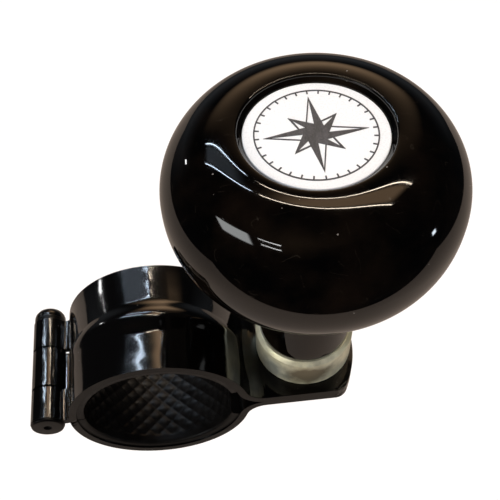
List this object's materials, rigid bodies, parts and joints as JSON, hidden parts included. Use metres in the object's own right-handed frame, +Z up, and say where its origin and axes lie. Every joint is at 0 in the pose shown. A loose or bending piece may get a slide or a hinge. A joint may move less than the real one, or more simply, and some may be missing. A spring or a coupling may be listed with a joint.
{
  "type": "steering wheel spinner knob",
  "caption": "Ball-shaped grip that spins on bearings round a plated post, on a hinged, rubber-lined two-part clamp for a round steering wheel rim.",
  "frame": {"origin": "middle of the clamp's bore, halfway along its width, in the plane where the two clamp halves meet", "axes": "+Y along the bore, +Z up along the grip's axis, +X from the bore towards the grip's axis"},
  "size_m": [0.0862, 0.052, 0.0872],
  "materials": {
    "coated_steel": "glossy black coating on pressed steel sheet",
    "coated_pin": "glossy black coating on steel",
    "liner_rubber": "matt, quilted with small diamonds",
    "zinc_plating": "yellowish zinc plating, satin",
    "bearing_steel": "ground",
    "ball_steel": "polished",
    "cage_brass": "pressed",
    "plain_steel": "turned, bright zinc",
    "grip_plastic": "moulded, high gloss with fine scratches",
    "emblem_white": "white, satin gloss",
    "emblem_ink": "printed ink",
    "black_oxide": "black oxide",
    "zinc_washer": "bright zinc"
  },
  "bodies": {
    "fixed_clamp": {"upper_clamp_half": "coated_steel", "upper_liner": "liner_rubber", "hinge_pin": "coated_pin", "spindle_post": "zinc_plating", "lower_inner_ring": "bearing_steel", "upper_inner_ring": "bearing_steel", "bearing_spacer": "plain_steel", "retaining_washer": "plain_steel", "retaining_screw": "plain_steel"},
    "grip": {"grip_ball": "grip_plastic", "lower_outer_ring": "bearing_steel", "upper_outer_ring": "bearing_steel", "emblem_disc": "emblem_white", "emblem_print": "emblem_ink"},
    "lower_ball_set": {"lower_balls": "ball_steel", "lower_cage": "cage_brass"},
    "upper_ball_set": {"upper_balls": "ball_steel", "upper_cage": "cage_brass"},
    "swinging_clamp": {"lower_clamp_half": "coated_steel", "lower_liner": "liner_rubber", "clamp_screw": "black_oxide", "flat_washer": "zinc_washer", "spring_washer": "black_oxide"}
  },
  "joints": [
    {"name": "grip_spin", "type": "hinge", "parent": "fixed_clamp", "child": "grip", "pos_m": [0.0325, 0, 0.03], "axis": [0, 0, 1], "continuous": true},
    {"name": "lower_balls_orbit", "type": "hinge", "parent": "fixed_clamp", "child": "lower_ball_set", "pos_m": [0.0325, 0, 0.0134], "axis": [0, 0, 1], "continuous": true},
    {"name": "upper_balls_orbit", "type": "hinge", "parent": "fixed_clamp", "child": "upper_ball_set", "pos_m": [0.0325, 0, 0.0576], "axis": [0, 0, 1], "continuous": true},
    {"name": "clamp_hinge", "type": "hinge", "parent": "fixed_clamp", "child": "swinging_clamp", "pos_m": [-0.0241, 0, 0], "axis": [0, 1, 0], "range_deg": [0, 110]}
  ],
  "couplings": [
    {"joint": "lower_balls_orbit", "follows": "grip_spin", "ratio": 0.59917},
    {"joint": "upper_balls_orbit", "follows": "grip_spin", "ratio": 0.59917}
  ]
}
